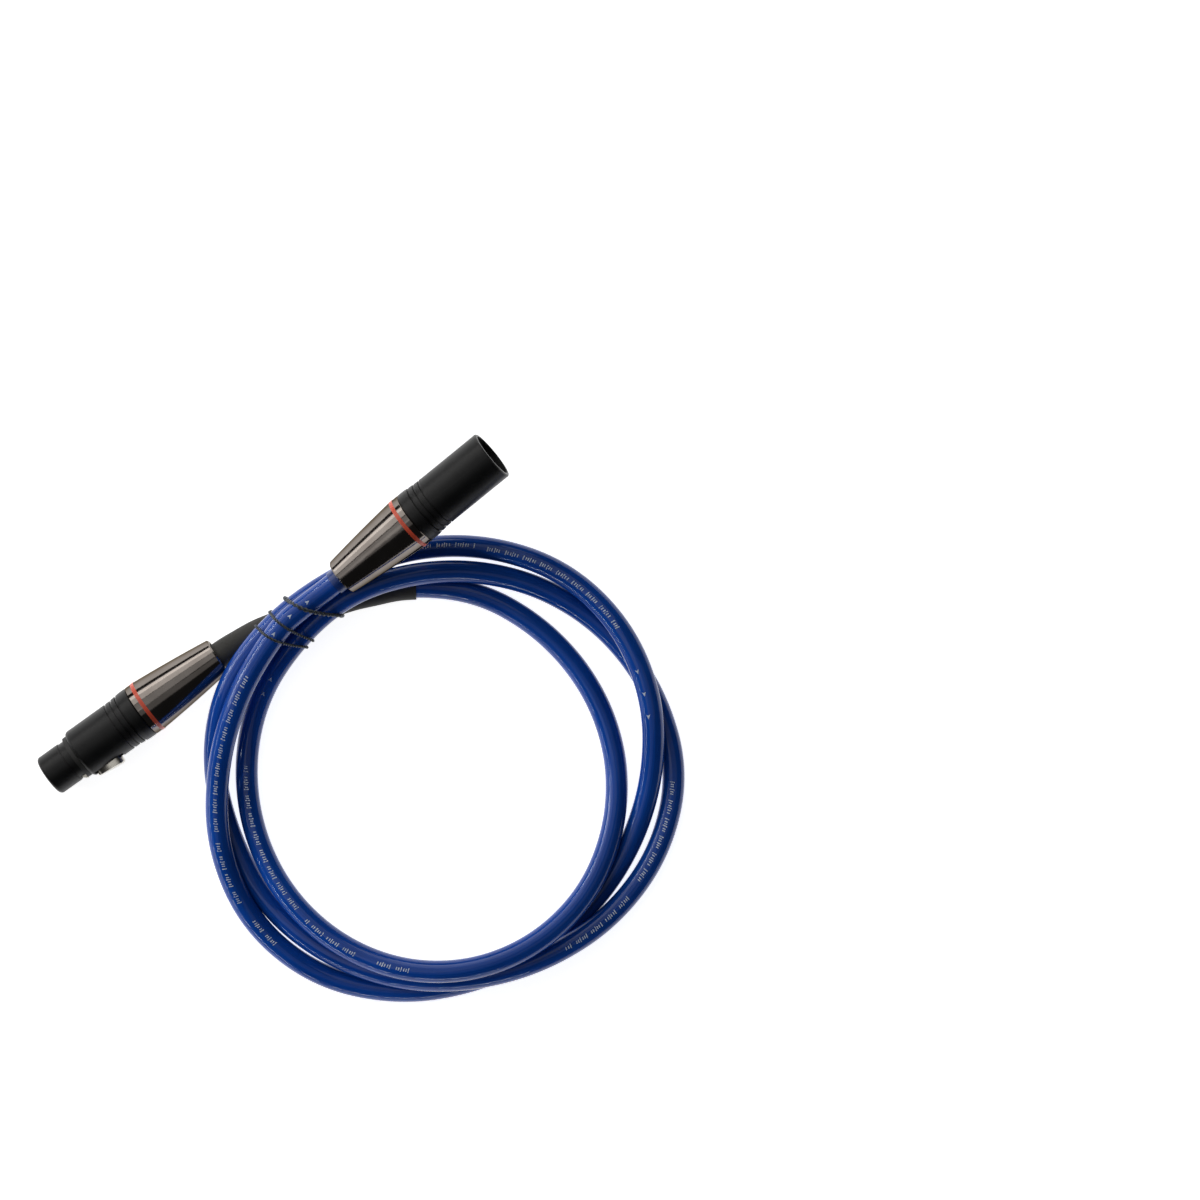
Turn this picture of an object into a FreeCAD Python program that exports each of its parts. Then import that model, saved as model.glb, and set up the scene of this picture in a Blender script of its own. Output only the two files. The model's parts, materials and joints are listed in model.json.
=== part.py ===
import FreeCAD, Part
import math
import os

# A balanced audio cable, coiled in three loose turns and tied: a female three-pole connector, the cable,
# and a male three-pole connector that lies on top of the bundle. Millimetres, +Z up, the coil lies on z = 0.
# +X runs along both connectors, from the female's mating face to the male's. The origin is under the middle.

V = FreeCAD.Vector

# ---- driving dimensions: cable ----
CABLE_R = 4.25
SLEEVE_WALL = 0.6  # heat-shrink over the jacket
SLEEVE_R = CABLE_R + 0.05 + SLEEVE_WALL
SLIP = 0.05  # radial gap between pieces that slide over each other
CLEAR = 0.3  # gap between the coil's solid and what passes through it
MIN_BEND = 5 * 2 * CABLE_R

# ---- driving dimensions: the coil ----
COIL_X, COIL_Y = 14.25, -6.6  # the coil's centre
STEP_DEG = 20  # between two stations of a turn
BELOW = 2.0  # the coil's solid is lofted this far below the table and cut off at it
FIRST_DEG = 60  # the first station, where the heat-shrink ends; the turns run clockwise from there
# Radius of the cable's centre line and its height, one pair for each station, a row for each turn.
TURN_RADII = [
    [69.4, 67.0, 63.9, 62.7, 63.2, 65.0, 67.6, 71.0, 73.3, 74.9, 75.8, 76.0, 75.7, 75.1, 74.9, 74.5, 73.2, 74.3],
    [74.0, 75.3, 77.7, 80.7, 83.8, 87.3, 86.4, 83.6, 80.3, 79.0, 80.0, 81.8, 82.7, 84.4, 87.0, 86.7, 83.5, 82.0],
    [83.6, 85.0, 86.4, 85.1, 82.0, 78.0, 75.6, 75.0, 76.5, 80.6, 86.0, 91.3, 92.8, 88.9, 83.7, 80.5, 80.0],
]
LAY = CABLE_R  # the height of a centre line that lies on the table
TURN_HEIGHTS = [
    [5.0, LAY, LAY, LAY, LAY, 4.5, 8.5, 12.0, 18.2, 20.8, 19.0, 14.5, 11.0, 8.0, 4.5, 6.5, 13.5, 15.5],
    [13.6, 7.5, LAY, LAY, LAY, LAY, LAY, 7.0, 12.6, 13.1, 10.8, 7.0, LAY, LAY, 7.0, 17.0, 17.5, 12.7],
    [8.0, 6.5, 8.5, 12.5, 13.3, 8.8, LAY, LAY, LAY, LAY, LAY, LAY, 6.0, 12.5, 16.2, 22.6, 24.2],
]
COIL_MARGIN = 0.3  # of the coil's solid beside its outermost turns
SECTION_DEG = 10  # between two sections of the coil's solid
COIL_SHOULDER = 4.0  # the corner of the coil's section that is cut off
TIED_DEG = (75, 125)  # here the turns are lifted over the sleeve

# ---- driving dimensions: connectors ----
# A connector's own frame: +X to its mating face, x = 0 where the housing meets the boot,
# +Z towards the latch side.
HOUSING_R = 9.95
FLANGE_R = 10.45  # where the housing and the boot meet
FLANGE_X, FLANGE_END_X = 2.8, 8.0  # the housing tapers between these
BOOT_L = 36.0
BOOT_REAR_R = 7.2
BOOT_MID_X, BOOT_MID_R = -20.5, 8.95
THREAD_L = 9.0  # the housing's spigot inside the boot
THREAD_R = 8.0
CORE_R = 7.0  # bore behind the contacts
GROOVES_X = (4.8, 7.2, 9.7)
GROOVE_W, GROOVE_DEEP = 0.9, 0.55
RING_X, RING_W, RING_PROUD, RING_DEEP = -2.5, 1.5, 0.1, 0.8
CONTACT_CIRCLE_R = 4.05
CONTACT_DEG = (45, 135, 270)
PIN_R = 1.2
PIN_ROOT_R = 1.5  # where it is held in the insert
CUP_BORE_R = 0.95

# female
FEMALE_L = 42.6
SHOULDER_X = 28.5
NECK_R, NOSE_R, NECK_END_X, NOSE_ROUND = 7.8, 8.1, 33.0, 1.4
GASKET_W, GASKET_R = 1.6, 8.75
INSERT_REAR_X = 14.0
SOCKET_OUT_R = 1.7

# male
MALE_L = 37.4
SHELL_R = 9.9
CAVITY_R = 8.35
CAVITY_X = 21.0  # the bottom of the cavity
MOUTH_R, MOUTH_L = 8.55, 3.4
PIN_TIP_X = 33.8
CATCH_X, CATCH_W = (34.8, 36.6), 4.4

# latch, in the female connector's frame
PIVOT_X, PIVOT_Z = 11.6, 6.6
LATCH_PIN_R = 0.6
LATCH_FLOOR_Z = 4.85
BUTTON_X = (15.4, 26.8)
BUTTON_W = 6.4
ARM_W = 4.0
TOOTH_X = (30.4, 31.9)
TOOTH_W = 3.6
TOOTH_TOP_Z = 8.9

# ---- where the connectors lie ----
FEMALE_AT = V(COIL_X - 75.4, COIL_Y + 88.6, 10.6)
FEMALE_YAW_DEG = 176.9
LATCH_ROLL_DEG = 4.0  # the latch faces sideways, turned this far up
MALE_AT = V(COIL_X + 51.4, COIL_Y + 79.9, 28.6)
MALE_PITCH_DEG = 8.4

# ---- the cable's two uncoiled stretches, from the boots to the coil ----
BOOT_EXIT = BOOT_L - 2.0  # the stretch starts inside the boot's mouth
FEMALE_LEAD = [(-28.0, 86.03, 10.6), (-10.0, 80.9, 7.2), (4.6, 75.7, 6.3), (19.9, 69.1, 5.5)]
MALE_LEAD = [(-2.0, 80.3, 22.7), (9.0, 79.9, 22.33)]

# ---- the tie ----
TIE_R = 0.7
TIE_TOP = 29.5
# Each wrap's outer and inner side, in plan, from the coil's centre.
TIE_WRAPS = [((-6.8, 89.6), (7.6, 66.6)), ((-13.8, 89.4), (-8.4, 66.9)), ((-22.9, 90.9), (-12.0, 66.5))]


def at_coil(x, y, z):
    """A point given from the coil's centre, in the part's frame."""
    return V(COIL_X + x, COIL_Y + y, z)


# ---- shapes ----
def turned(profile):
    """The solid that a closed (x, r) outline makes round the X axis. A point of three numbers is the
    middle of an arc that ends at the next point, given as (x, r, 'arc')."""
    edges, start, middle = [], None, None
    for point in profile + profile[:1]:
        here = V(point[0], 0, point[1])
        if len(point) == 3:
            middle = here
            continue
        if start is not None:
            if middle is not None:
                edges.append(Part.Arc(start, middle, here).toShape())
            elif start.distanceToPoint(here) > 1e-6:
                edges.append(Part.LineSegment(start, here).toShape())
        start, middle = here, None
    return Part.Face(Part.Wire(edges)).revolve(V(0, 0, 0), V(1, 0, 0), 360)


def rod(x0, x1, radius, y=0.0, z=0.0):
    return Part.makeCylinder(radius, x1 - x0, V(x0, y, z), V(1, 0, 0))


def tube(x0, x1, outer, inner):
    return rod(x0, x1, outer).cut(rod(x0, x1, inner))


def block(x, y, z):
    """A box from its lowest and highest x, y and z."""
    return Part.makeBox(x[1] - x[0], y[1] - y[0], z[1] - z[0], V(x[0], y[0], z[0]))


def bent_path(points):
    """Straight runs joined by arcs that touch them, each arc as large as its runs allow.
    Returns the wire, its length and its radii."""
    edges, radii, start = [], [], points[0]
    for before, corner, after in zip(points, points[1:], points[2:]):
        back, ahead = (before - corner), (after - corner)
        half_turn = (math.pi - back.getAngle(ahead)) / 2
        cut = 0.45 * min(back.Length, ahead.Length)
        radius = cut / math.tan(half_turn)
        back.normalize()
        ahead.normalize()
        inward = back + ahead
        inward.normalize()
        centre = corner + inward * (radius / math.cos(half_turn))
        enter, leave = corner + back * cut, corner + ahead * cut
        edges.append(Part.LineSegment(start, enter).toShape())
        edges.append(Part.Arc(enter, centre - inward * radius, leave).toShape())
        radii.append(radius)
        start = leave
    edges.append(Part.LineSegment(start, points[-1]).toShape())
    return Part.Wire(edges), sum(edge.Length for edge in edges), radii


def bent_rod(points, radius, bore=0.0):
    """A round rod, or a tube, along such a path."""
    wire, length, radii = bent_path(points)
    along = points[1] - points[0]
    rim = Part.Wire(Part.makeCircle(radius, points[0], along))
    solid = wire.makePipeShell([rim], True, False)
    if bore:
        hole = Part.Wire(Part.makeCircle(bore, points[0], along))
        solid = solid.cut(wire.makePipeShell([hole], True, False))
    return solid, length, radii


# ---- where things go ----
def axis_placement(origin, front, up):
    side = up.cross(front)
    turn = FreeCAD.Rotation(front, side, up, "XZY")
    return FreeCAD.Placement(origin, turn)


def female_placement():
    yaw, roll = math.radians(FEMALE_YAW_DEG), math.radians(LATCH_ROLL_DEG)
    front = V(math.cos(yaw), math.sin(yaw), 0)
    sideways = V(0, 0, 1).cross(front)
    latch = sideways * math.cos(roll) + V(0, 0, 1) * math.sin(roll)
    return axis_placement(FEMALE_AT, front, latch)


def male_placement():
    pitch = math.radians(MALE_PITCH_DEG)
    return axis_placement(
        MALE_AT, V(math.cos(pitch), 0, math.sin(pitch)), V(-math.sin(pitch), 0, math.cos(pitch))
    )


def contact_places():
    """(y, z) of the three contacts, in order."""
    for angle in CONTACT_DEG:
        turn = math.radians(angle)
        yield CONTACT_CIRCLE_R * math.cos(turn), CONTACT_CIRCLE_R * math.sin(turn)


# ---- pieces that both connectors have ----
def grooves():
    cutters = [
        tube(x - GROOVE_W / 2, x + GROOVE_W / 2, HOUSING_R + 1, HOUSING_R - GROOVE_DEEP) for x in GROOVES_X
    ]
    return cutters[0].fuse(cutters[1:])


def boot():
    """The tapered metal shell that screws over the housing's spigot."""
    ring_x0, ring_x1 = RING_X - RING_W, RING_X
    groove_r = FLANGE_R - RING_DEEP
    bush_x, bush_r = -26.5, 5.6
    edge = 0.5
    return turned([
        (0, THREAD_R + SLIP),
        (0, FLANGE_R - 0.3),
        (-0.3, FLANGE_R),
        (ring_x1, FLANGE_R),
        (ring_x1, groove_r),
        (ring_x0, groove_r),
        (ring_x0, FLANGE_R),
        (BOOT_MID_X, BOOT_MID_R, "arc"),
        (-BOOT_L + edge, BOOT_REAR_R),
        (-BOOT_L, BOOT_REAR_R - edge),
        (-BOOT_L, bush_r),
        (bush_x, bush_r),
        (bush_x, CORE_R + SLIP),
        (-THREAD_L - 0.3, CORE_R + SLIP),
        (-THREAD_L - 0.3, THREAD_R + SLIP),
    ])


def colour_ring():
    return tube(RING_X - RING_W, RING_X, FLANGE_R + RING_PROUD, FLANGE_R - RING_DEEP)


def chuck():
    """The collet that grips the jacket: a sleeve with four slots in its rear half."""
    rear, front, slot_end, slot_w = -25.5, -2.0, -12.0, 1.2
    body = turned([
        (front, CABLE_R + SLIP),
        (front, CORE_R - SLIP),
        (-15.0, CORE_R - SLIP),
        (rear, CORE_R - 0.8),
        (rear, CABLE_R + SLIP),
    ])
    wide = CORE_R + 1
    slots = block((rear - 1, slot_end), (-wide, wide), (-slot_w / 2, slot_w / 2))
    return body.cut(slots.fuse(block((rear - 1, slot_end), (-slot_w / 2, slot_w / 2), (-wide, wide))))


def gland(cable_r):
    """The rubber bush in the boot's mouth, round whatever cable_r it holds."""
    return tube(-BOOT_L + 0.6, -27.0, 5.6 - SLIP, cable_r + SLIP)


def cable_end():
    """The jacketed stub inside the connector, up to where the jacket is stripped."""
    return rod(-BOOT_EXIT, -3.0, CABLE_R)


def wire(index, cup_x):
    """One core, fanned out from the jacket's end to its solder cup."""
    y, z = list(contact_places())[index]
    near = 0.42  # of the contacts' circle, where the cores leave the jacket
    points = [V(-3, near * y, near * z), V(0.5, near * y, near * z), V(4.5, y, z), V(cup_x, y, z)]
    return bent_rod(points, 0.75)[0]


# ---- female connector ----
def latch_room():
    """Everything cut away for the latch: the slot for its arm and tooth, its boss and the button's window."""
    arm, button = ARM_W / 2 + 0.5, BUTTON_W / 2 + 0.4
    slot = block((PIVOT_X - 2.0, TOOTH_X[1] + 0.5), (-arm, arm), (LATCH_FLOOR_Z, 8.0))
    boss = block((PIVOT_X - 2.0, PIVOT_X + 2.4), (-arm, arm), (LATCH_FLOOR_Z - 0.3, 8.6))
    window = block((BUTTON_X[0] - 1.0, BUTTON_X[1] + 0.5), (-button, button), (LATCH_FLOOR_Z, 12))
    return slot.fuse([boss, window])


def female_housing():
    round_mid = NOSE_ROUND * (1 - math.cos(math.radians(45)))
    shoulder = 1.6  # the housing's front edge is rounded by this much
    shoulder_mid = shoulder * (1 - math.cos(math.radians(45)))
    body = turned([
        (-THREAD_L, CORE_R),
        (-THREAD_L, THREAD_R),
        (0, THREAD_R),
        (0, FLANGE_R - 0.3),
        (0.3, FLANGE_R),
        (FLANGE_X, FLANGE_R),
        (FLANGE_END_X, HOUSING_R),
        (SHOULDER_X - shoulder, HOUSING_R),
        (SHOULDER_X - shoulder_mid, HOUSING_R - shoulder_mid, "arc"),
        (SHOULDER_X, HOUSING_R - shoulder),
        (SHOULDER_X, NECK_R),
        (NECK_END_X, NECK_R),
        (NECK_END_X, NOSE_R),
        (FEMALE_L - NOSE_ROUND, NOSE_R),
        (FEMALE_L - round_mid, NOSE_R - round_mid, "arc"),
        (FEMALE_L, NOSE_R - NOSE_ROUND),
        (FEMALE_L, CORE_R - 0.8),
        (FEMALE_L - 0.8, CORE_R - 0.8),
        (FEMALE_L - 0.8, CORE_R),
    ])
    pin_hole = Part.makeCylinder(LATCH_PIN_R, 8.4, V(PIVOT_X, -4.2, PIVOT_Z), V(0, 1, 0))
    return body.cut(grooves().fuse([latch_room(), pin_hole]))


def nose_gasket():
    return tube(SHOULDER_X, SHOULDER_X + GASKET_W, GASKET_R, NECK_R)


def female_insert():
    """The moulded block that holds the three sockets."""
    body = rod(INSERT_REAR_X, FEMALE_L - 0.85, CORE_R - SLIP)
    holes = [rod(INSERT_REAR_X - 1, FEMALE_L + 1, SOCKET_OUT_R, y, z) for y, z in contact_places()]
    return body.cut(holes[0].fuse(holes[1:] + [latch_room()]))


def socket(index):
    """A contact tube with a solder cup behind. The first is longer, so that it meets its pin first."""
    y, z = list(contact_places())[index]
    front = FEMALE_L - (1.6 if index == 0 else 2.4)
    body = rod(17.0, front, SOCKET_OUT_R, y, z).fuse(rod(9.0, 17.0, SOCKET_OUT_R - 0.3, y, z))
    return body.cut(rod(22.0, front + 1, PIN_R + 0.03, y, z).fuse(rod(8.0, 13.0, CUP_BORE_R, y, z)))


def latch_lever():
    """A pivoted lever: a boss on the pin, an arm under the nose ring, a tooth and the button that shows."""
    half_arm, half_tooth = ARM_W / 2, TOOTH_W / 2
    top, under = 7.1, 6.3
    boss = Part.makeCylinder(1.5, ARM_W, V(PIVOT_X, -half_arm, PIVOT_Z), V(0, 1, 0))
    arm = block((PIVOT_X, TOOTH_X[1]), (-half_arm, half_arm), (under, top))
    tooth = extruded(
        [(TOOTH_X[0], under), (TOOTH_X[1], under), (TOOTH_X[1], top + 0.9), (TOOTH_X[0] + 0.4, TOOTH_TOP_Z),
         (TOOTH_X[0], TOOTH_TOP_Z)], half_tooth)
    body = boss.fuse([arm, tooth, button()])
    return body.cut(Part.makeCylinder(LATCH_PIN_R + SLIP, 20, V(PIVOT_X, -10, PIVOT_Z), V(0, 1, 0)))


def extruded(outline, half_width):
    """A closed (x, z) outline, drawn out along Y to both sides."""
    corners = [V(x, -half_width, z) for x, z in outline]
    return Part.Face(Part.makePolygon(corners + corners[:1])).extrude(V(0, 2 * half_width, 0))


def button():
    """The push plate: drop-shaped from above, blunt at the rear and narrow at the front, its rear edge proud."""
    x0, x1 = BUTTON_X
    half, nose = BUTTON_W / 2, 1.3
    side = extruded([(x0, 6.3), (x1, 6.3), (x1, 10.6), (x1 - 1.0, 11.0), (x0 + 1.2, 12.0), (x0, 11.6)], half)
    rear, front = V(x0, 0, 0), V(x1, 0, 0)
    wide_x = x0 + half
    edges = [
        Part.Arc(V(wide_x, half, 0), rear, V(wide_x, -half, 0)).toShape(),
        Part.Arc(V(wide_x, -half, 0), V((wide_x + x1) / 2 - 0.4, -half + 0.55, 0), V(x1 - nose, -nose, 0)).toShape(),
        Part.Arc(V(x1 - nose, -nose, 0), front, V(x1 - nose, nose, 0)).toShape(),
        Part.Arc(V(x1 - nose, nose, 0), V((wide_x + x1) / 2 - 0.4, half - 0.55, 0), V(wide_x, half, 0)).toShape(),
    ]
    plan = Part.Face(Part.Wire(edges)).extrude(V(0, 0, 20))
    return side.common(plan)


def latch_pin():
    return Part.makeCylinder(LATCH_PIN_R, 8.4, V(PIVOT_X, -4.2, PIVOT_Z), V(0, 1, 0))


def latch_spring():
    """A leaf spring between the insert and the lever's underside."""
    low, high, thick = LATCH_FLOOR_Z, 6.3, 0.25
    return extruded(
        [(17.0, low), (20.0, low), (25.0, high - thick), (27.0, high - thick), (27.0, high), (24.9, high),
         (19.9, low + thick), (17.0, low + thick)], 1.4)


# ---- male connector ----
def male_shell():
    body = turned([
        (-THREAD_L, CORE_R),
        (-THREAD_L, THREAD_R),
        (0, THREAD_R),
        (0, FLANGE_R - 0.3),
        (0.3, FLANGE_R),
        (FLANGE_X, FLANGE_R),
        (FLANGE_END_X, HOUSING_R),
        (10.6, HOUSING_R),
        (11.0, SHELL_R),
        (MALE_L - 0.4, SHELL_R),
        (MALE_L, SHELL_R - 0.4),
        (MALE_L, MOUTH_R),
        (MALE_L - MOUTH_L, MOUTH_R),
        (MALE_L - MOUTH_L, CAVITY_R),
        (15.0, CAVITY_R),
        (15.0, CORE_R),
    ])
    catch = block(CATCH_X, (-CATCH_W / 2, CATCH_W / 2), (7.5, MOUTH_R + 0.65))
    return body.cut(grooves().fuse(catch))


def male_insert():
    """The moulded disc at the bottom of the cavity that the three pins stand in."""
    body = rod(15.0, CAVITY_X, CAVITY_R - SLIP).fuse(rod(10.5, 15.0, CORE_R - SLIP))
    holes = [rod(9.0, CAVITY_X + 1, PIN_ROOT_R, y, z) for y, z in contact_places()]
    return body.cut(holes[0].fuse(holes[1:]))


def pin(index):
    """A round-ended contact pin with a solder cup behind."""
    y, z = list(contact_places())[index]
    shank = rod(8.0, CAVITY_X, PIN_ROOT_R, y, z).fuse(rod(CAVITY_X, PIN_TIP_X - PIN_R, PIN_R, y, z))
    tip = Part.makeSphere(PIN_R, V(PIN_TIP_X - PIN_R, y, z))
    return shank.fuse(tip).cut(rod(7.0, 12.0, CUP_BORE_R, y, z)).removeSplitter()


def cable_collar():
    """The short blue ring on the jacket behind the boot."""
    return tube(-BOOT_L - 3.4, -BOOT_L + 0.5, CABLE_R + SLIP + 0.4, CABLE_R + SLIP)


# ---- the cable ----
def stations():
    """(angle, radius, height) of every station of the turns, in order along the cable."""
    angle = FIRST_DEG
    for radii, heights in zip(TURN_RADII, TURN_HEIGHTS):
        for radius, height in zip(radii, heights):
            yield angle, radius, height
            angle -= STEP_DEG


def strands_at(angle):
    """(radius, height) of every strand that passes an angle of the circle, between stations if need be."""
    placed = list(stations())
    for (a0, r0, h0), (a1, r1, h1) in zip(placed, placed[1:] + [(placed[-1][0] - STEP_DEG, 0, 0)]):
        past = (a0 - angle) % 360
        if past == 0:
            yield r0, h0
        elif past < STEP_DEG and r1:
            share = past / STEP_DEG
            yield r0 + (r1 - r0) * share, h0 + (h1 - h0) * share


def coil_section(angle):
    """The closed outline of the coil's section at an angle: what the strands there fill, corners cut off."""
    here = list(strands_at(angle))
    inner = min(r for r, _ in here) - CABLE_R - COIL_MARGIN
    outer = max(r for r, _ in here) + CABLE_R + COIL_MARGIN
    top = max(h for _, h in here) + CABLE_R
    tied = TIED_DEG[0] <= angle % 360 <= TIED_DEG[1]
    bottom = min(h for _, h in here) - CABLE_R if tied else -BELOW
    cut = COIL_SHOULDER
    corners = [(inner, bottom), (outer, bottom), (outer, top - cut), (outer - cut, top), (inner + cut, top),
               (inner, top - cut)]
    turn = math.radians(angle)
    points = [at_coil(r * math.cos(turn), r * math.sin(turn), z) for r, z in corners]
    return Part.makePolygon(points + points[:1])


def coil(cutters):
    """The outer shape of the three turns, with room for the leads that go through it and the boot on it."""
    sections = [coil_section(angle) for angle in range(0, 360, SECTION_DEG)]
    ring = Part.makeLoft(sections, True, True, True)
    table = Part.makeBox(400, 400, 20, V(-200, -200, -20))
    return ring.cut(table.fuse(cutters))


def lead_points():
    """The two uncoiled stretches: from the female boot to the first station, and from the last station to
    the male boot."""
    placed = [(angle, radius, height) for angle, radius, height in stations()]
    ends = []
    for angle, radius, height in (placed[0], placed[-1]):
        turn = math.radians(angle)
        ends.append(at_coil(radius * math.cos(turn), radius * math.sin(turn), height))
    female = [female_placement().multVec(V(-BOOT_EXIT, 0, 0))] + [at_coil(*p) for p in FEMALE_LEAD] + [ends[0]]
    male = [ends[1]] + [at_coil(*p) for p in MALE_LEAD] + [male_placement().multVec(V(-BOOT_EXIT, 0, 0))]
    return female, male


def boot_room(placement, side):
    """What a boot, the collar behind it and the housing need clear: round the axis, and from there
    straight up (side 1) or down (side -1)."""
    outline = [
        (-BOOT_L - 4.5, BOOT_REAR_R + CLEAR),
        (-BOOT_L, BOOT_REAR_R + CLEAR),
        (BOOT_MID_X, BOOT_MID_R + CLEAR),
        (RING_X - RING_W, FLANGE_R + RING_PROUD + CLEAR),
        (14.0, FLANGE_R + RING_PROUD + CLEAR),
    ]
    body = turned([(outline[0][0], 0)] + outline + [(outline[-1][0], 0)])
    body.Placement = placement
    front = placement.Rotation.multVec(V(1, 0, 0))
    sideways = V(0, 0, 1).cross(front)
    sideways.normalize()
    edge = [placement.multVec(V(x, 0, 0)) + sideways * r for x, r in outline]
    other = [placement.multVec(V(x, 0, 0)) - sideways * r for x, r in reversed(outline)]
    plan = edge + other
    column = Part.Face(Part.makePolygon(plan + plan[:1])).extrude(V(0, 0, 20 * side))
    return body.fuse(column)


def tie_wrap(start, end):
    """One turn of the tie: a rounded loop round the bundle and the sleeve, in an upright plane."""
    low, high, corner = TIE_R, TIE_TOP, 7.0
    first, last = at_coil(start[0], start[1], 0), at_coil(end[0], end[1], 0)
    along = last - first
    width = along.Length
    along.normalize()

    def place(across, up):
        return first + along * across + V(0, 0, up)

    straight = [
        ((corner, low), (width - corner, low)),
        ((width, low + corner), (width, high - corner)),
        ((width - corner, high), (corner, high)),
        ((0, high - corner), (0, low + corner)),
    ]
    centres = [(width - corner, low + corner), (width - corner, high - corner), (corner, high - corner),
               (corner, low + corner)]
    edges = []
    for i, (a, b) in enumerate(straight):
        after = straight[(i + 1) % 4][0]
        edges.append(Part.LineSegment(place(*a), place(*b)).toShape())
        bulge = [c + corner * math.sqrt(0.5) * s for c, s in
                 zip(centres[i], [(1, -1), (1, 1), (-1, 1), (-1, -1)][i])]
        edges.append(Part.Arc(place(*b), place(*bulge), place(*after)).toShape())
    begin = place(*straight[0][0])
    rim = Part.Wire(Part.makeCircle(TIE_R, begin, along))
    return Part.Wire(edges).makePipeShell([rim], True, False)


# ---- the whole part ----
def connector_nodes():
    contacts = range(len(CONTACT_DEG))
    cores = ("hot", "cold", "shield")
    female = {
        "female_housing": female_housing(),
        "female_nose_gasket": nose_gasket(),
        "female_insert": female_insert(),
        "female_boot": boot(),
        "female_colour_ring": colour_ring(),
        "female_chuck": chuck(),
        "female_gland": gland(SLEEVE_R),
        "female_cable_end": cable_end(),
        "latch_lever": latch_lever(),
        "latch_pin": latch_pin(),
        "latch_spring": latch_spring(),
    }
    male = {
        "male_shell": male_shell(),
        "male_insert": male_insert(),
        "male_boot": boot(),
        "male_colour_ring": colour_ring(),
        "male_chuck": chuck(),
        "male_gland": gland(CABLE_R + SLIP + 0.4),
        "male_cable_collar": cable_collar(),
        "male_cable_end": cable_end(),
    }
    for i in contacts:
        female[f"female_socket_{i + 1}"] = socket(i)
        male[f"male_pin_{i + 1}"] = pin(i)
        female[f"female_wire_{cores[i]}"] = wire(i, 12.0)
        male[f"male_wire_{cores[i]}"] = wire(i, 11.0)
    return female, male


def cable_nodes():
    female, male = lead_points()
    female_lead, female_length, female_radii = bent_rod(female, CABLE_R)
    male_lead, male_length, male_radii = bent_rod(male, CABLE_R)
    for name, solid, length, radii in (
        ("female lead", female_lead, female_length, female_radii),
        ("male lead", male_lead, male_length, male_radii),
    ):
        share = solid.Volume / (math.pi * CABLE_R**2 * length)
        print(f"{name}: {length:.1f} mm, volume / (section x length) {share:.4f}, radii "
              + ", ".join(f"{radius:.0f}" for radius in radii), f"at least {MIN_BEND:.0f}")
    sleeve = bent_rod(female, SLEEVE_R, CABLE_R + SLIP)[0]
    sleeve_room = bent_rod(female, SLEEVE_R + CLEAR)[0]
    lead_room = bent_rod(male, CABLE_R + CLEAR)[0]
    return {
        "cable_coil": coil([
            sleeve_room, lead_room, boot_room(male_placement(), 1), boot_room(female_placement(), -1)
        ]),
        "cable_female_lead": female_lead,
        "cable_male_lead": male_lead,
        "female_heat_shrink_sleeve": sleeve,
    }


def write(name, shape):
    solids = shape.Solids
    if not shape.isValid() or not solids:
        print("not a sound solid:", name)
    one = solids[0] if len(solids) == 1 else Part.makeCompound(solids)
    one.exportStep(os.path.join("parts", name + ".step"))


def main():
    os.makedirs("parts", exist_ok=True)
    female, male = connector_nodes()
    nodes = cable_nodes()
    for group, placement in ((female, female_placement()), (male, male_placement())):
        for name, shape in group.items():
            shape.Placement = placement.multiply(shape.Placement)
            nodes[name] = shape
    for i, (start, end) in enumerate(TIE_WRAPS):
        nodes[f"tie_wrap_{i + 1}"] = tie_wrap(start, end)
    for name, shape in sorted(nodes.items()):
        write(name, shape)
    box = FreeCAD.BoundBox()
    for shape in nodes.values():
        box.add(shape.optimalBoundingBox(False))
    print(f"{len(nodes)} nodes, x {box.XMin:.2f} {box.XMax:.2f}, y {box.YMin:.2f} {box.YMax:.2f}, "
          f"z {box.ZMin:.2f} {box.ZMax:.2f}")


main()
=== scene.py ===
import json
import math

import bmesh
import bpy
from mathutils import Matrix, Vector


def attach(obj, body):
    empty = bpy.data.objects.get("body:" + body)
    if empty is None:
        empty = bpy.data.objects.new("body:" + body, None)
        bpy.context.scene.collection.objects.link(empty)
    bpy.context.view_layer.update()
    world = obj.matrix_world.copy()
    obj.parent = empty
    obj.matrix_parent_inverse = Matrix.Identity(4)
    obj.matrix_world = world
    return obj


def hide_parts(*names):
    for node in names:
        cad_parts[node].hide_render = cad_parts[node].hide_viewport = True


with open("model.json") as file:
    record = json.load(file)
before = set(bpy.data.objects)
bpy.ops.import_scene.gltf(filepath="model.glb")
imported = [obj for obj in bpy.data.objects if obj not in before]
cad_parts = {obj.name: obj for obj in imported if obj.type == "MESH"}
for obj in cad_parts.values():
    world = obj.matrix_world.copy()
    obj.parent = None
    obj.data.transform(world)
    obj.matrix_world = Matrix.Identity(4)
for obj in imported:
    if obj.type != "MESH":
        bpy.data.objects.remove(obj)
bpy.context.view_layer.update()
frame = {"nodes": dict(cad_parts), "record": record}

# Numbers in tables are millimetres and degrees unless they say otherwise. MM turns millimetres into metres.
MM = 0.001
NODES = frame["nodes"]
BODY = "cable_set"
UP = Vector((0, 0, 1))

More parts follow.
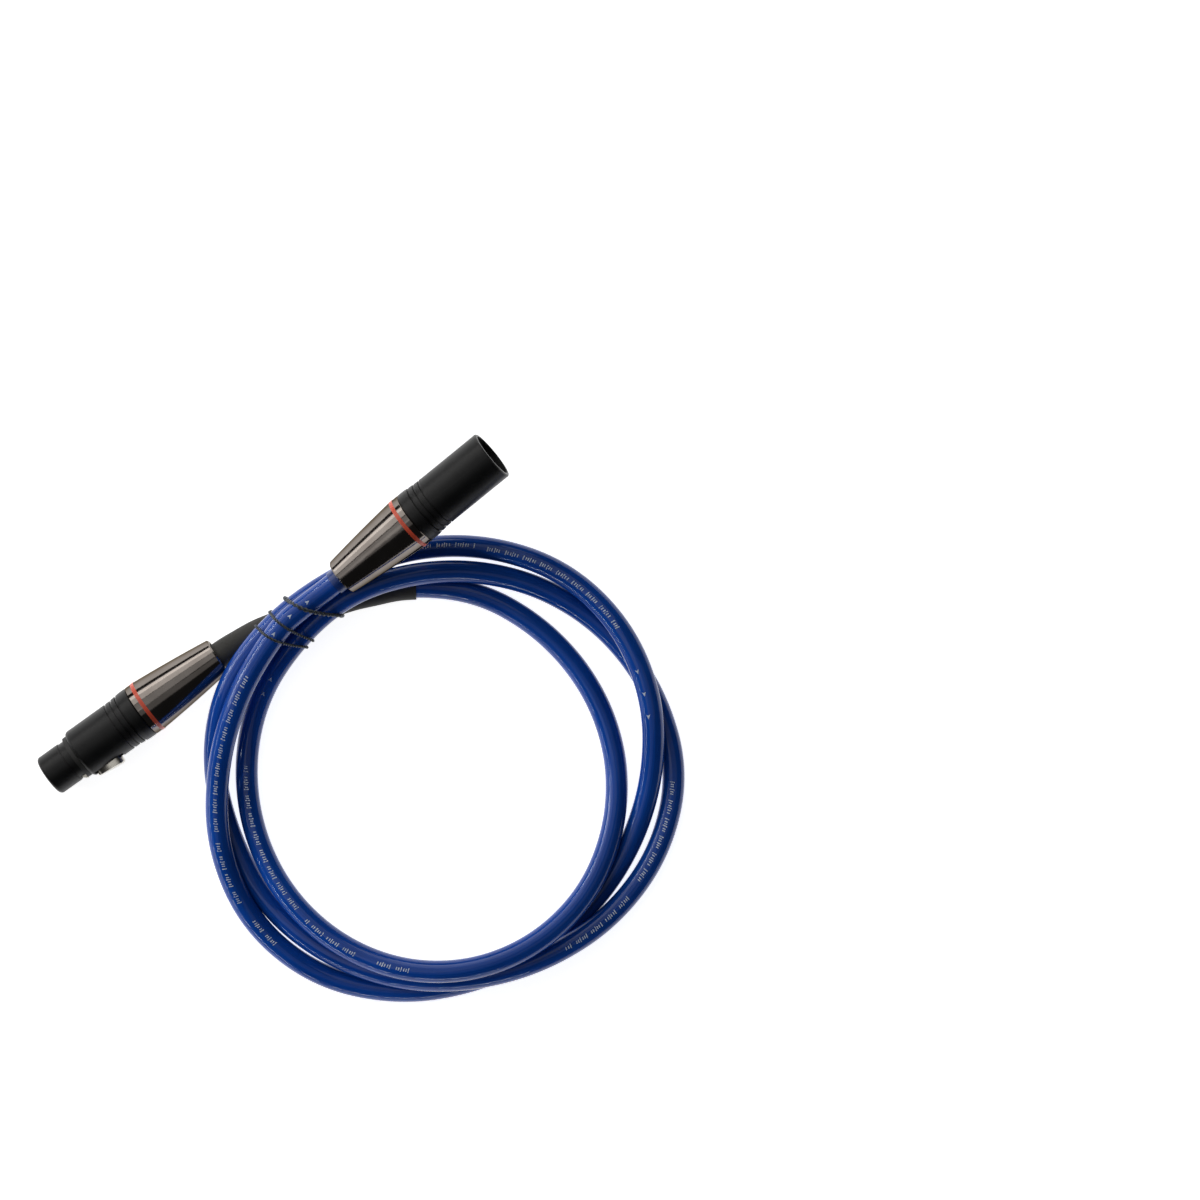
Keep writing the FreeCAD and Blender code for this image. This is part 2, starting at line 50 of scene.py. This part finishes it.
# ---------------------------------------------------------------- the cable's route
# These points are part.py's, but for the thirteenth station of the second and the third turn. Those two are moved
# by 1.2 and 0.2 mm, to bring the gap between the strands there to its place.
CABLE_R = 4.25 * MM
SLEEVE_R = 4.9 * MM
SLEEVE_END = 81.5 * MM  # how far the sleeve reaches along the cable
COIL = (14.25, -6.6)  # the coil's centre
FIRST_DEG, STEP_DEG = 60, 20  # the first station and the angle between stations; the turns run clockwise
LAY = 4.25  # the height of a centre line that lies on the table
TURN_RADII = [
    [69.4, 67.0, 63.9, 62.7, 63.2, 65.0, 67.6, 71.0, 73.3, 74.9, 75.8, 76.0, 75.7, 75.1, 74.9, 74.5, 73.2, 74.3],
    [74.0, 75.3, 77.7, 80.7, 83.8, 87.3, 86.4, 83.6, 80.3, 79.0, 80.0, 81.8, 83.9, 84.4, 87.0, 86.7, 83.5, 82.0],
    [83.6, 85.0, 86.4, 85.1, 82.0, 78.0, 75.6, 75.0, 76.5, 80.6, 86.0, 91.3, 92.6, 88.9, 83.7, 80.5, 80.0],
]
TURN_HEIGHTS = [
    [5.0, LAY, LAY, LAY, LAY, 4.5, 8.5, 12.0, 18.2, 20.8, 19.0, 14.5, 11.0, 8.0, 4.5, 6.5, 13.5, 15.5],
    [13.6, 7.5, LAY, LAY, LAY, LAY, LAY, 7.0, 12.6, 13.1, 10.8, 7.0, LAY, LAY, 7.0, 17.0, 17.5, 12.7],
    [8.0, 6.5, 8.5, 12.5, 13.3, 8.8, LAY, LAY, LAY, LAY, LAY, LAY, 6.0, 12.5, 16.2, 22.6, 24.2],
]
# Stretches from each boot to the turns, from the coil's centre.
FEMALE_LEAD = [(-28.0, 86.03, 10.6), (-10.0, 80.9, 7.2), (4.6, 75.7, 6.3), (19.9, 69.1, 5.5)]
MALE_LEAD = [(-2.0, 80.3, 22.7), (9.0, 79.9, 22.33)]

# Where the connectors lie, and how far behind each one's origin the cable comes out of its boot.
FEMALE_AT = (COIL[0] - 75.4, COIL[1] + 88.6, 10.6)
FEMALE_YAW = math.radians(176.9)
MALE_AT = (COIL[0] + 51.4, COIL[1] + 79.9, 28.6)
MALE_PITCH = math.radians(8.4)
BOOT_EXIT = 34.0


def at_coil(x, y, z):
    return Vector((COIL[0] + x, COIL[1] + y, z)) * MM


def on_turn(angle, radius, height):
    turn = math.radians(angle)
    return at_coil(radius * math.cos(turn), radius * math.sin(turn), height)


def female_axis(x):
    front = Vector((math.cos(FEMALE_YAW), math.sin(FEMALE_YAW), 0))
    return (Vector(FEMALE_AT) + front * x) * MM


def male_axis(x):
    front = Vector((math.cos(MALE_PITCH), 0, math.sin(MALE_PITCH)))
    return (Vector(MALE_AT) + front * x) * MM


def route():
    """The control points from boot to boot. A turn's points stand a little further out than the turn,
    because the curve runs inside them."""
    stand_off = 1 / (0.75 + 0.25 * math.cos(math.radians(STEP_DEG)))
    points = [female_axis(-BOOT_EXIT)] + [at_coil(*p) for p in FEMALE_LEAD]
    angle = FIRST_DEG
    for radii, heights in zip(TURN_RADII, TURN_HEIGHTS):
        for radius, height in zip(radii, heights):
            points.append(on_turn(angle, radius * stand_off, height))
            angle -= STEP_DEG
    return points + [at_coil(*p) for p in MALE_LEAD] + [male_axis(-BOOT_EXIT)]


def add_object(name, data):
    made = bpy.data.objects.new(name, data)
    bpy.context.scene.collection.objects.link(made)
    return made


# ---------------------------------------------------------------- camera
CAMERA_AT = (85.9, 13.0, 1300)  # straight above, from the coil's centre
TURN_IN_VIEW = math.radians(38.7)
LENS = 102.57

camera = add_object("camera", bpy.data.cameras.new("camera"))
camera.location = Vector((COIL[0] + CAMERA_AT[0], COIL[1] + CAMERA_AT[1], CAMERA_AT[2])) * MM
camera.rotation_euler = (0, 0, -TURN_IN_VIEW)
camera.data.lens = LENS
camera.data.clip_start = 0.05
bpy.context.scene.camera = camera
bpy.context.scene.view_settings.view_transform = "Standard"


# ---------------------------------------------------------------- material helpers
class Nodes:
    """A small builder for node materials."""

    def __init__(self, name, **sockets):
        self.material = bpy.data.materials.new(name)
        self.material.use_nodes = True
        self.tree = self.material.node_tree
        self.shader = self.tree.nodes["Principled BSDF"]
        for socket, value in sockets.items():
            self.shader.inputs[socket.replace("_", " ")].default_value = value

    def add(self, kind, **settings):
        node = self.tree.nodes.new("ShaderNode" + kind)
        for name, value in settings.items():
            setattr(node, name, value)
        return node

    def link(self, a, b):
        self.tree.links.new(a, b)

    def place(self, output="Object", scale=(1, 1, 1)):
        """Coordinates on the piece, stretched by scale."""
        mapping = self.add("Mapping")
        mapping.inputs["Scale"].default_value = scale
        self.link(self.add("TexCoord").outputs[output], mapping.inputs["Vector"])
        return mapping.outputs["Vector"]

    def noise(self, where, scale, detail, roughness=0.5):
        node = self.add("TexNoise")
        node.inputs["Scale"].default_value = scale
        node.inputs["Detail"].default_value = detail
        node.inputs["Roughness"].default_value = roughness
        self.link(where, node.inputs["Vector"])
        return node.outputs["Fac"]

    def math(self, operation, a, b):
        node = self.add("Math", operation=operation)
        for socket, value in zip(node.inputs, (a, b)):
            if isinstance(value, (int, float)):
                socket.default_value = value
            else:
                self.link(value, socket)
        return node.outputs[0]

    def colour(self, value, *stops):
        """The base colour, through a ramp of (position, colour) stops."""
        node = self.add("ValToRGB")
        while len(node.color_ramp.elements) < len(stops):
            node.color_ramp.elements.new(0.5)
        for element, (position, colour) in zip(node.color_ramp.elements, stops):
            element.position = position
            element.color = (*colour, 1)
        self.link(value, node.inputs["Fac"])
        self.link(node.outputs["Color"], self.shader.inputs["Base Color"])

    def two_tone(self, value, dark, light):
        self.colour(value, (0.3, dark), (0.7, light))

    def rough(self, value, low, high):
        node = self.add("MapRange")
        node.inputs["To Min"].default_value = low
        node.inputs["To Max"].default_value = high
        self.link(value, node.inputs["Value"])
        self.link(node.outputs[0], self.shader.inputs["Roughness"])

    def bump(self, height, strength, distance):
        """distance is in metres."""
        node = self.add("Bump")
        node.inputs["Strength"].default_value = strength
        node.inputs["Distance"].default_value = distance
        self.link(height, node.inputs["Height"])
        self.link(node.outputs[0], self.shader.inputs["Normal"])


# ---------------------------------------------------------------- materials
def jacket():
    """Glossy blue PVC with faint draw marks along it and a slight unevenness."""
    m = Nodes("blue_jacket", Roughness=0.2, Coat_Weight=0.55, Coat_Roughness=0.03, IOR=1.40,
              Specular_IOR_Level=0.2)
    streaks = m.noise(m.place("UV", (18, 60, 1)), 1.0, 3)
    fine_marks = m.noise(m.place("UV", (260, 9, 1)), 1.0, 2)
    patches = m.noise(m.place(), 45, 3)
    tint = m.math("ADD", m.math("MULTIPLY", streaks, 0.45), m.math("MULTIPLY", patches, 0.55))
    m.colour(tint, (0.30, (0.0018, 0.034, 0.21)), (0.5, (0.0028, 0.048, 0.285)), (0.72, (0.0055, 0.064, 0.345)))
    m.rough(patches, 0.14, 0.30)
    m.bump(m.math("ADD", m.math("MULTIPLY", streaks, 0.5), fine_marks), 0.10, 0.0004)
    return m.material


def satin_black():
    """Satin black plating: a fine grain, worn a little paler."""
    m = Nodes("satin_black_shell", Metallic=0.35, Specular_IOR_Level=0.42)
    where = m.place()
    wear = m.noise(where, 90, 4, 0.6)
    m.two_tone(wear, (0.005, 0.0052, 0.0055), (0.011, 0.0112, 0.0115))
    m.rough(wear, 0.34, 0.46)
    m.bump(m.noise(where, 2600, 2), 0.25, 0.00003)
    return m.material


def black_chrome():
    """Dark polished plating with a warm tint and faint polishing marks round the axis."""
    m = Nodes("black_chrome", Metallic=1.0, Specular_Tint=(0.30, 0.28, 0.24, 1))
    patches = m.noise(m.place(), 120, 3)
    m.two_tone(patches, (0.215, 0.19, 0.172), (0.265, 0.238, 0.218))
    m.rough(patches, 0.09, 0.16)
    m.bump(m.noise(m.place(scale=(1, 0.12, 0.12)), 1400, 2), 0.012, 0.00002)
    return m.material


def plastic(name, dark, light, low, high, grain=1500, strength=0.2, **sockets):
    """Moulded plastic or rubber: a fine grain, mottled from dark to light, its roughness from low to high."""
    m = Nodes(name, **sockets)
    where = m.place()
    m.two_tone(m.noise(where, 130, 4), dark, light)
    m.rough(m.noise(where, 400, 3), low, high)
    m.bump(m.noise(where, grain, 2), strength, 0.00003)
    return m.material


def metal(name, dark, light, low, high, along=(1, 1, 1)):
    """Bare metal, its fine marks drawn out where along is small."""
    m = Nodes(name, Metallic=1.0)
    where = m.place()
    m.two_tone(m.noise(where, 300, 4), dark, light)
    m.rough(m.noise(where, 500, 3), low, high)
    m.bump(m.noise(m.place(scale=along), 2500, 2), 0.15, 0.00002)
    return m.material


def copper_braid():
    m = Nodes("core_copper", Metallic=1.0)
    wave = m.add("TexWave", wave_type="BANDS", bands_direction="DIAGONAL")
    wave.inputs["Scale"].default_value = 900
    m.link(m.place(), wave.inputs["Vector"])
    strands = wave.outputs["Fac"]
    m.colour(strands, (0.2, (0.35, 0.14, 0.06)), (0.8, (0.72, 0.36, 0.20)))
    m.rough(strands, 0.25, 0.4)
    m.bump(strands, 0.5, 0.0001)
    return m.material


def sleeve_grey():
    """Shrink tubing: matte, with soft lengthwise wrinkles."""
    m = Nodes("sleeve_grey", Specular_IOR_Level=0.35)
    patches = m.noise(m.place(), 60, 3)
    m.two_tone(patches, (0.038, 0.037, 0.033), (0.062, 0.060, 0.054))
    m.rough(patches, 0.55, 0.72)
    m.bump(m.noise(m.place(scale=(0.35, 1, 1)), 420, 3), 0.35, 0.00012)
    return m.material


def tie_cord():
    """A dull twisted tie: fine fibres that catch a little light."""
    m = Nodes("tie_cord", Specular_IOR_Level=0.5)
    fibres = m.noise(m.place("UV", (900, 5, 1)), 1.0, 3)
    m.two_tone(fibres, (0.010, 0.013, 0.018), (0.090, 0.110, 0.130))
    m.rough(fibres, 0.28, 0.5)
    m.bump(fibres, 0.5, 0.0001)
    return m.material


def print_ink():
    """Pale ink, a little worn."""
    m = Nodes("print_ink", Roughness=0.5)
    worn = m.noise(m.place(), 900, 3)
    m.colour(worn, (0.3, (0.45, 0.57, 0.80)), (0.65, (0.82, 0.89, 1.0)))
    return m.material


def paper():
    """The floor and the backdrop: white, and glowing, so that the shadows stay faint."""
    m = Nodes("floor_paper", Roughness=0.9, Specular_IOR_Level=0.1, Emission_Color=(1, 1, 1, 1),
              Emission_Strength=0.9)
    m.two_tone(m.noise(m.place(), 3, 3), (0.90, 0.90, 0.90), (0.94, 0.94, 0.94))
    return m.material


MATERIALS = {  # by material slot
    "blue_jacket": jacket(),
    "satin_black_shell": satin_black(),
    "black_chrome": black_chrome(),
    "sleeve_grey": sleeve_grey(),
    "tie_cord": tie_cord(),
    "core_copper": copper_braid(),
    "red_ring": plastic("red_ring", (0.70, 0.080, 0.036), (0.84, 0.120, 0.058), 0.28, 0.40, 1800, 0.1),
    "blue_collar": plastic("blue_collar", (0.004, 0.034, 0.20), (0.006, 0.048, 0.27), 0.3, 0.4, Coat_Weight=0.3),
    "insert_black": plastic("insert_black", (0.010, 0.010, 0.011), (0.018, 0.018, 0.019), 0.4, 0.55),
    "rubber_black": plastic("rubber_black", (0.012, 0.012, 0.012), (0.022, 0.022, 0.021), 0.5, 0.7, 900, 0.3),
    "pale_plastic": plastic("pale_plastic", (0.60, 0.59, 0.55), (0.70, 0.69, 0.65), 0.35, 0.5),
    "core_white": plastic("core_white", (0.68, 0.67, 0.64), (0.78, 0.77, 0.74), 0.4, 0.5),
    "core_blue": plastic("core_blue", (0.03, 0.09, 0.38), (0.05, 0.13, 0.48), 0.4, 0.5),
    "latch_silver": metal("latch_silver", (0.56, 0.53, 0.47), (0.70, 0.67, 0.60), 0.22, 0.34, (0.2, 1, 1)),
    "contact_silver": metal("contact_silver", (0.66, 0.63, 0.56), (0.78, 0.76, 0.70), 0.18, 0.28),
    "spring_steel": metal("spring_steel", (0.48, 0.49, 0.51), (0.60, 0.61, 0.63), 0.2, 0.3, (1, 0.2, 1)),
}
for sub in frame["record"]["subparts"]:
    NODES[sub["node"]].data.materials.clear()
    NODES[sub["node"]].data.materials.append(MATERIALS[sub["material_slot"]])


def new_piece(name, data, slot, material=None):
    piece = add_object(name, data)
    data.materials.append(material or MATERIALS[slot])
    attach(piece, BODY)
    return piece


# ---------------------------------------------------------------- the cable
def add_nurbs(curve, points):
    """A quadratic spline with these control points. Its order is set after the points, or it would be straight."""
    spline = curve.splines.new("NURBS")
    spline.points.add(len(points) - 1)
    for point, place in zip(spline.points, points):
        point.co = (*place, 1)
    spline.order_u = 3
    return spline


def cable_curve(name, points, radius):
    curve = bpy.data.curves.new(name, "CURVE")
    curve.dimensions = "3D"
    curve.bevel_depth = radius
    curve.bevel_resolution = 10
    curve.resolution_u = 12
    curve.use_fill_caps = True
    add_nurbs(curve, points).use_endpoint_u = True
    return curve


def line_of(points):
    """The points along the route's own spline."""
    bare = add_object("line", cable_curve("line", points, 0.0))
    bpy.context.view_layer.update()
    mesh = bpy.data.meshes.new_from_object(bare)
    line = [v.co.copy() for v in mesh.vertices]
    bpy.data.objects.remove(bare)
    return line


ROUTE = route()
LINE = line_of(ROUTE)
AT = [0.0]  # the distance along the line of each of its points
for a, b in zip(LINE, LINE[1:]):
    AT.append(AT[-1] + (b - a).length)
LENGTH = AT[-1]


def on_line(s):
    """The place and direction of the cable's line at a distance along it."""
    s = min(max(s, 0.0), LENGTH)
    low, high = 0, len(AT) - 1
    while high - low > 1:
        middle = (low + high) // 2
        low, high = (middle, high) if AT[middle] <= s else (low, middle)
    share = (s - AT[low]) / max(AT[high] - AT[low], 1e-9)
    before = LINE[max(low - 1, 0)]
    after = LINE[min(high + 1, len(LINE) - 1)]
    return LINE[low].lerp(LINE[high], share), (after - before).normalized()


def frame_round(direction):
    """Two directions square to the cable's: one level, and one upwards."""
    across = UP.cross(direction).normalized()
    return across, direction.cross(across).normalized()


cable = new_piece("cable", cable_curve("cable", ROUTE, CABLE_R), "blue_jacket")
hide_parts("cable_coil", "cable_female_lead", "cable_male_lead")


# ---------------------------------------------------------------- the sleeve
AROUND = 40  # points in each ring of the sleeve
SLEEVE_STEPS = 120
SWELLS = ((0.06, 410, 0), (0.05, 173, 1))  # height, then radians in each metre and the start of the wave
SLEEVE_CUT = ((0.15, -0.15), (0.2, -0.35))  # how far past its end, and its radius there against SLEEVE_R


def tube_mesh(name, rings):
    """A tube through (centre, direction, radius) rings, open at its ends."""
    mesh, build = bpy.data.meshes.new(name), bmesh.new()
    uv = build.loops.layers.uv.new("UVMap")
    loops = []
    for centre, direction, radius in rings:
        across, up = frame_round(direction)
        turns = (2 * math.pi * i / AROUND for i in range(AROUND))
        loops.append([
            build.verts.new(centre + (across * math.cos(t) + up * math.sin(t)) * radius) for t in turns
        ])
    for k, (first, second) in enumerate(zip(loops, loops[1:])):
        for i in range(AROUND):
            j = (i + 1) % AROUND
            face = build.faces.new((first[i], first[j], second[j], second[i]))
            face.smooth = True
            for loop, (u, v) in zip(face.loops, ((k, i), (k, i + 1), (k + 1, i + 1), (k + 1, i))):
                loop[uv].uv = (u / len(rings), v / AROUND)
    build.normal_update()
    build.to_mesh(mesh)
    build.free()
    return mesh


def sleeve():
    """Shrink tubing from the female boot: slightly wavy, its far end cut square."""
    first, start = on_line(0.0)
    rings = [(first, start, CABLE_R * 0.9)]
    for i in range(SLEEVE_STEPS + 1):
        s = SLEEVE_END * i / SLEEVE_STEPS
        swell = sum(height * MM * math.sin(s * wave + phase) for height, wave, phase in SWELLS)
        rings.append((*on_line(s), SLEEVE_R - 0.08 * MM + swell))
    end, direction = on_line(SLEEVE_END)
    for out, thinner in SLEEVE_CUT:
        rings.append((end + direction * out * MM, direction, SLEEVE_R + thinner * MM))
    rings.append((end + direction * SLEEVE_CUT[-1][0] * MM, direction, CABLE_R * 0.98))
    return tube_mesh("heat_shrink", rings)


shrink = new_piece("heat_shrink", sleeve(), "sleeve_grey")
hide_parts("female_heat_shrink_sleeve")


# ---------------------------------------------------------------- small print on the jacket
# Where the real cable has its print, in degrees of turn counted as the route's stations are.
PRINTED = [(-138, -148), (-154, -171), (-175, -220), (-402, -430), (-434, -455), (-662, -677), (-680, -720),
           (-893, -901), (-906, -921), (-924, -965)]
# Each arrowhead's turn, and how far it leans outwards, in radians.
ARROWS = [(-242, -0.15), (-247, -0.15), (-732, -0.35), (-738, -0.35), (-744, -0.35), (-978, 0.08), (-984, 0.08),
          (-990, 0.08)]
ARROWHEAD = [(0.95, 0), (-0.75, 0.75), (-0.4, 0), (-0.75, -0.75)]  # along the cable, and round it
TICK_WIDTH, TICK_SLANT = 0.40, 0.15
TALL_TICK, LOW_TICK = 1.75, 1.15
GROUP = 7  # every seventh place is a space, and the first and fourth ticks of a group are tall
SPACE, STEP, WIDE_STEP = 1.5, 0.85, 1.1  # every third step is a wide one
INK_PROUD = 0.02 * MM
START_ANGLE = 97.0  # near the angle of turn where the line starts


def turn_angles():
    """The angle of turn at each point of the line, unwound."""
    angles, last = [], START_ANGLE
    for point in LINE:
        here = math.degrees(math.atan2(point.y - COIL[1] * MM, point.x - COIL[0] * MM))
        while here - last > 180:
            here -= 360
        while here - last < -180:
            here += 360
        angles.append(here)
        last = here
    return angles


ANGLES = turn_angles()


def distance_at(angle):
    """The distance along the line at which it reaches an angle of turn."""
    for i, (a, b) in enumerate(zip(ANGLES, ANGLES[1:])):
        if a >= angle > b:
            return AT[i] + (AT[i + 1] - AT[i]) * (a - angle) / (a - b)
    return LENGTH


def lay_on_jacket(build, s, corners, lean):
    """A face on the jacket at a distance along it, from corners along and round the cable."""
    centre, direction = on_line(s)
    across, up = frame_round(direction)
    verts = []
    for u, v in corners:
        turn = lean + v * MM / CABLE_R
        out = up * math.cos(turn) + across * math.sin(turn)
        verts.append(build.verts.new(centre + direction * u * MM + out * (CABLE_R + INK_PROUD)))
    build.faces.new(verts)


def tick(height):
    """The corners of a tick, with a point halfway up each side so that it follows the jacket."""
    levels = (-height / 2, 0.0, height / 2)
    left = [(TICK_SLANT * v - TICK_WIDTH / 2, v) for v in levels]
    right = [(TICK_SLANT * v + TICK_WIDTH / 2, v) for v in reversed(levels)]
    return left + right


def print_marks():
    """Rows of ticks of no meaning and small arrowheads, laid on the jacket."""
    mesh, build = bpy.data.meshes.new("print_marks"), bmesh.new()
    for run, (first, last) in enumerate(PRINTED):
        s, end, count = distance_at(first), distance_at(last), 0
        lean = 0.12 * math.sin(run * 1.7)
        while s < end:
            count += 1
            if count % GROUP == 0:
                s += SPACE * MM
                continue
            tall = count % GROUP in (1, 4)
            lay_on_jacket(build, s, tick(TALL_TICK if tall else LOW_TICK), lean)
            s += (STEP if count % 3 else WIDE_STEP) * MM
    for angle, lean in ARROWS:
        lay_on_jacket(build, distance_at(angle), ARROWHEAD, lean)
    build.normal_update()
    build.to_mesh(mesh)
    build.free()
    return mesh


marks = new_piece("print_marks", print_marks(), "blue_jacket", material=print_ink())

# ---------------------------------------------------------------- the tie
# Name, outer and inner side from the coil's centre, radius of one strand, how far the wrap bows along the cable,
# and whether it goes round the sleeve too.
WRAPS = [
    ("tie_wrap_1", (-6.3, 88.0), (7.4, 67.6), 0.42, 1.6, True),
    ("tie_wrap_2", (-13.8, 87.4), (-8.0, 68.8), 0.29, 0.9, True),
    ("tie_wrap_3", (-21.2, 86.6), (-11.3, 68.0), 0.29, 1.7, False),
]
BESIDE = 6.0 * MM  # a strand this far outside a wrap's two sides is still inside the wrap
RIM_POINTS = 48  # points round each strand that a wrap goes round
LOOP_POINTS = 72  # points in a wrap's loop
FINE = 6  # points of a strand to each point of the loop
STRANDS = 2
PITCH = 10  # the length of one twist, in strand radii


def hull(points):
    """The convex outline of points in a plane, counter-clockwise."""
    points = sorted(set(points))

    def half(ordered):
        chain = []
        for p in ordered:
            while len(chain) > 1:
                (ax, ay), (bx, by) = chain[-2], chain[-1]
                if (bx - ax) * (p[1] - ay) - (by - ay) * (p[0] - ax) > 0:
                    break
                chain.pop()
            chain.append(p)
        return chain[:-1]

    return half(points) + half(points[::-1])


def even_loop(outline, count):
    """Evenly spaced points round a closed outline."""
    sides = list(zip(outline, outline[1:] + outline[:1]))
    lengths = [math.dist(a, b) for a, b in sides]
    total, out, k, passed = sum(lengths), [], 0, 0.0
    for i in range(count):
        s = total * i / count
        while s > passed + lengths[k]:
            passed += lengths[k]
            k += 1
        share = (s - passed) / lengths[k]
        (ax, ay), (bx, by) = sides[k]
        out.append((ax + (bx - ax) * share, ay + (by - ay) * share))
    return out


def wrap_path(outer, inner, thick, bow, sleeved):
    """The tight loop of one wrap round the strands, in its own upright plane, bowed along the cable."""
    first, last = at_coil(*outer, 0), at_coil(*inner, 0)
    along = (last - first).normalized()
    normal = Vector((along.y, -along.x, 0))
    width = (last - first).length
    rim = []
    for i, (a, b) in enumerate(zip(LINE, LINE[1:])):
        da, db = (a - first).dot(normal), (b - first).dot(normal)
        covered = AT[i] < SLEEVE_END
        if da * db > 0 or da == db or (covered and not sleeved):
            continue
        cross = a.lerp(b, da / (da - db))
        across = (cross - first).dot(along)
        if not -BESIDE < across < width + BESIDE:
            continue
        radius = (SLEEVE_R if covered else CABLE_R) + thick * 0.9
        slope = abs((b - a).normalized().dot(normal))
        for k in range(RIM_POINTS):
            t = 2 * math.pi * k / RIM_POINTS
            u, v = across + radius / slope * math.cos(t), cross.z + radius * math.sin(t)
            rim.append((round(u, 7), round(v, 7)))
    outline = even_loop(hull(rim), LOOP_POINTS)
    low, high = min(u for u, _ in outline), max(u for u, _ in outline)
    path = []
    for u, v in outline:
        bowed = bow * math.sin(math.pi * (u - low) / (high - low))
        path.append(first + along * u + normal * bowed + UP * max(v, thick * 2.1))
    return path


def twisted(name, path, radius):
    """Strands twisted round each other along a closed path."""
    curve = bpy.data.curves.new(name, "CURVE")
    curve.dimensions = "3D"
    curve.bevel_depth = radius
    curve.bevel_resolution = 4
    curve.resolution_u = 3
    count = len(path)
    total = sum((a - b).length for a, b in zip(path, path[1:] + path[:1]))
    turns = max(1, round(total / (PITCH * radius)))
    for strand in range(STRANDS):
        points = []
        for i in range(count * FINE):
            k, share = divmod(i, FINE)
            here = path[k].lerp(path[(k + 1) % count], share / FINE)
            direction = (path[(k + 1) % count] - path[k]).normalized()
            side = Vector((direction.y, -direction.x, 0))
            side = side.normalized() if side.length > 0.05 else direction.orthogonal().normalized()
            up = direction.cross(side).normalized()
            t = 2 * math.pi * (turns * i / (count * FINE) + strand / STRANDS)
            points.append(here + (side * math.cos(t) + up * math.sin(t)) * radius * 0.95)
        add_nurbs(curve, points).use_cyclic_u = True
    return curve


for name, outer, inner, strand_r, bow, sleeved in WRAPS:
    path = wrap_path(outer, inner, strand_r * MM, bow * MM, sleeved)
    tie = new_piece(name + "_cord", twisted(name + "_cord", path, strand_r * MM), "tie_cord")
    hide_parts(name)


# ---------------------------------------------------------------- floor and backdrop, in metres
FLOOR_REACH = 3.0
WALL_SIDES, WALL_REACH, WALL_HEIGHT = 64, 2.9, 2.4


def stage_piece(name, corners, faces, material):
    mesh = bpy.data.meshes.new(name)
    mesh.from_pydata(corners, [], faces)
    mesh.materials.append(material)
    return add_object(name, mesh)


def backdrop_shape():
    """An open round wall."""
    turns = [2 * math.pi * i / WALL_SIDES for i in range(WALL_SIDES)]
    corners = [(WALL_REACH * math.cos(t), WALL_REACH * math.sin(t), z) for z in (0.0, WALL_HEIGHT) for t in turns]
    faces = []
    for i in range(WALL_SIDES):
        j = (i + 1) % WALL_SIDES
        faces.append((i, j, WALL_SIDES + j, WALL_SIDES + i))
    return corners, faces


white = paper()
floor_corners = [(x * FLOOR_REACH, y * FLOOR_REACH, 0) for x, y in ((-1, -1), (1, -1), (1, 1), (-1, 1))]
floor = stage_piece("floor", floor_corners, [(0, 1, 2, 3)], white)

# Only the camera sees the backdrop, so it lights and reflects in nothing.
wall = stage_piece("backdrop", *backdrop_shape(), white)
wall.visible_diffuse = wall.visible_glossy = wall.visible_shadow = False

# ---------------------------------------------------------------- light
world = bpy.data.worlds.new("world")
bpy.context.scene.world = world
world.use_nodes = True
sky = world.node_tree.nodes["Background"]
sky.inputs["Color"].default_value = (0.95, 0.97, 1.0, 1)
sky.inputs["Strength"].default_value = 0.02

WHITE, WARM, COOL = (1, 1, 1), (1.0, 0.985, 0.97), (0.85, 0.94, 1.0)
# Name, direction from the middle of the object, distance and size in metres, power in watts, colour.
PANELS = [
    ("key_low", (-0.05, 0.92, 0.39), 1.6, (2.8, 0.36), 7.8, WARM),
    ("key_middle", (-0.05, 0.76, 0.66), 1.6, (2.8, 0.72), 8.5, WARM),
    ("key_high", (-0.05, 0.33, 0.94), 1.75, (2.4, 0.9), 3.6, WHITE),
    ("key_top", (-0.05, -0.12, 0.99), 1.75, (2.4, 0.75), 1.2, WHITE),
]
# Narrow strips, most of them low along the left of the view. They draw thin highlights on the cable alone.
STRIPS = [
    ("strip_high", (-0.5, 0.8, 0.5), 2.6),
    ("strip_back", (-0.35, 0.9, 0.24), 3.8),
    ("strip_left", (-0.78, 0.62, 0.22), 3.6),
    ("strip_near", (-0.98, -0.11, 0.22), 4.0),
    ("strip_front", (-0.62, -0.78, 0.22), 4.0),
]
STRIP_DISTANCE, STRIP_SIZE = 1.55, (1.15, 0.025)


def panel(name, towards, distance, size, power, colour):
    """A soft panel that faces the middle of the object."""
    light = bpy.data.lights.new(name, "AREA")
    light.shape = "RECTANGLE"
    light.size, light.size_y = size
    light.energy = power
    light.color = colour
    lamp = add_object(name, light)
    away = Vector(towards).normalized()
    lamp.location = away * distance
    lamp.rotation_mode = "QUATERNION"
    lamp.rotation_quaternion = away.to_track_quat("Z", "Y")
    return lamp


for settings in PANELS:
    panel(*settings)
cable_only = bpy.data.collections.new("cable_only")
cable_only.objects.link(cable)
for name, towards, power in STRIPS:
    strip = panel(name, towards, STRIP_DISTANCE, STRIP_SIZE, power, COOL)
    strip.light_linking.receiver_collection = cable_only
